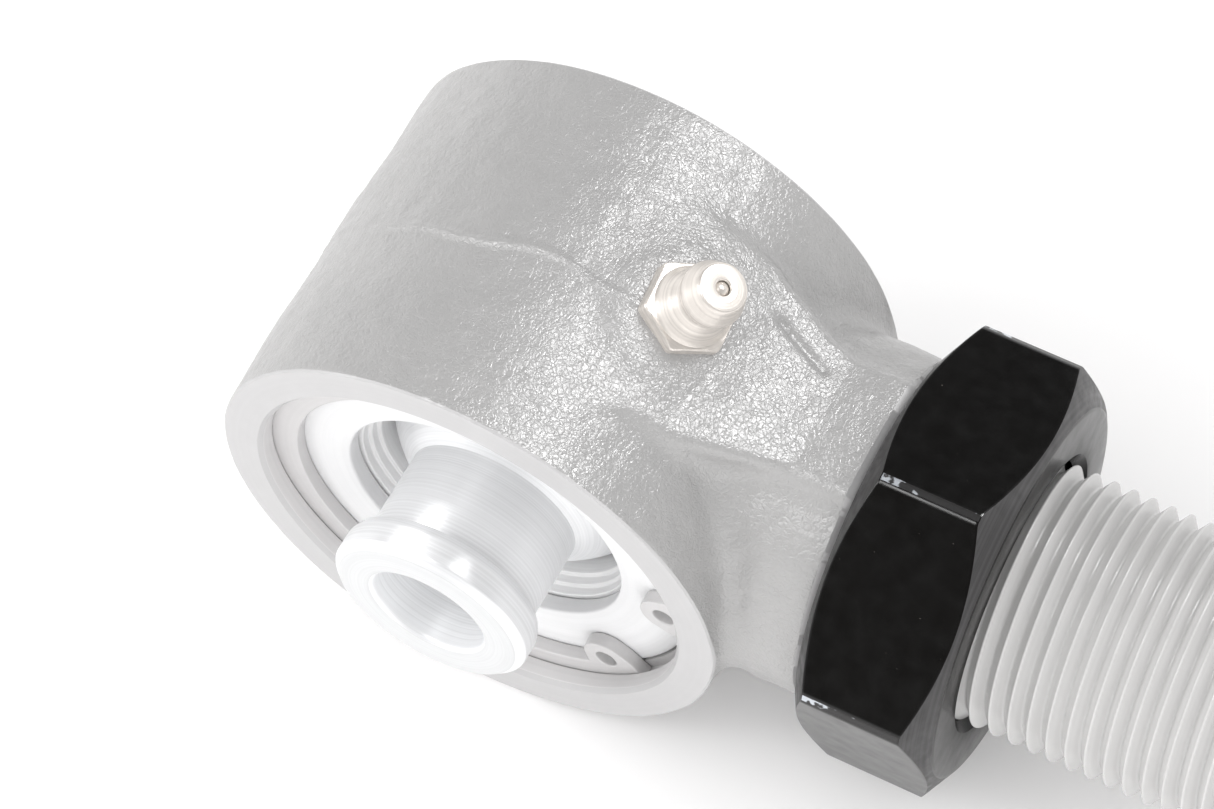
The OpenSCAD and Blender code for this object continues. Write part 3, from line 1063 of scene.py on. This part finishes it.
def build_world():
    """Even white fill; reflections see white low down and a dim ceiling; the camera sees white."""
    world = bpy.data.worlds.new("studio")
    bpy.context.scene.world = world
    world.use_nodes = True
    nodes, links = world.node_tree.nodes, world.node_tree.links
    surrounding = nodes["Background"]
    direction = nodes.new("ShaderNodeTexCoord")
    split = nodes.new("ShaderNodeSeparateXYZ")
    links.new(direction.outputs["Generated"], split.inputs[0])
    ramp = nodes.new("ShaderNodeValToRGB")
    ramp.color_ramp.elements[0].position = 0.1
    ramp.color_ramp.elements[0].color = (1.35, 1.35, 1.35, 1)
    ramp.color_ramp.elements[1].position = 0.38
    ramp.color_ramp.elements[1].color = (0.09, 0.09, 0.092, 1)
    links.new(split.outputs["Z"], ramp.inputs[0])
    links.new(ramp.outputs[0], surrounding.inputs["Color"])
    rays = nodes.new("ShaderNodeLightPath")

    def white_for(ray, strength, otherwise):
        """White background for one kind of ray, and another shader for the rest."""
        white = nodes.new("ShaderNodeBackground")
        white.inputs["Color"].default_value = (1, 1, 1, 1)
        white.inputs["Strength"].default_value = strength
        mix = nodes.new("ShaderNodeMixShader")
        links.new(rays.outputs[ray], mix.inputs[0])
        links.new(otherwise, mix.inputs[1])
        links.new(white.outputs[0], mix.inputs[2])
        return mix.outputs[0]

    shown = white_for("Is Diffuse Ray", 1.2, surrounding.outputs[0])
    shown = white_for("Is Camera Ray", 1.0, shown)
    links.new(shown, nodes["World Output"].inputs["Surface"])


def build_camera():
    """A long lens from the front, right and above."""
    azimuth, elevation, roll = math.radians(32.05), math.radians(59.85), math.radians(-4.65)
    distance = 0.5205
    target = Vector((4.9, 0.7, 0)) * MM
    back = Vector(
        (
            math.sin(azimuth) * math.cos(elevation),
            -math.cos(azimuth) * math.cos(elevation),
            math.sin(elevation),
        )
    )
    right = Vector((0, 0, 1)).cross(back).normalized()
    up = back.cross(right)
    upright = Matrix((right, up, back)).transposed()
    data = bpy.data.cameras.new("camera")
    data.sensor_width = 36
    data.lens = 148.3
    data.clip_start = 0.01
    camera = bpy.data.objects.new("camera", data)
    bpy.context.scene.collection.objects.link(camera)
    camera.matrix_world = (
        Matrix.Translation(target + back * distance)
        @ upright.to_4x4()
        @ Matrix.Rotation(roll, 4, "Z")
    )
    bpy.context.scene.camera = camera


build_floor()
build_world()
build_light("key", (0.33, 0.42, 0.84), (0.36, 0.28), 7.0, lit=False)
build_light("top", (-0.27, -0.40, 0.87), (0.3, 0.3), 2.6, lit=False)
build_light("streak", (-0.6, 0.05, 0.8), (0.12, 0.3), 6.5, lit=False, only=["ball"])
build_light("left", (-0.75, -0.45, 0.5), (0.35, 0.35), 2.0)
build_light("front", (0.5, -0.75, 0.3), (0.5, 0.5), 2.2, reflected=False)
build_camera()
view = bpy.context.scene.view_settings
view.view_transform = "Standard"
view.look = "None"
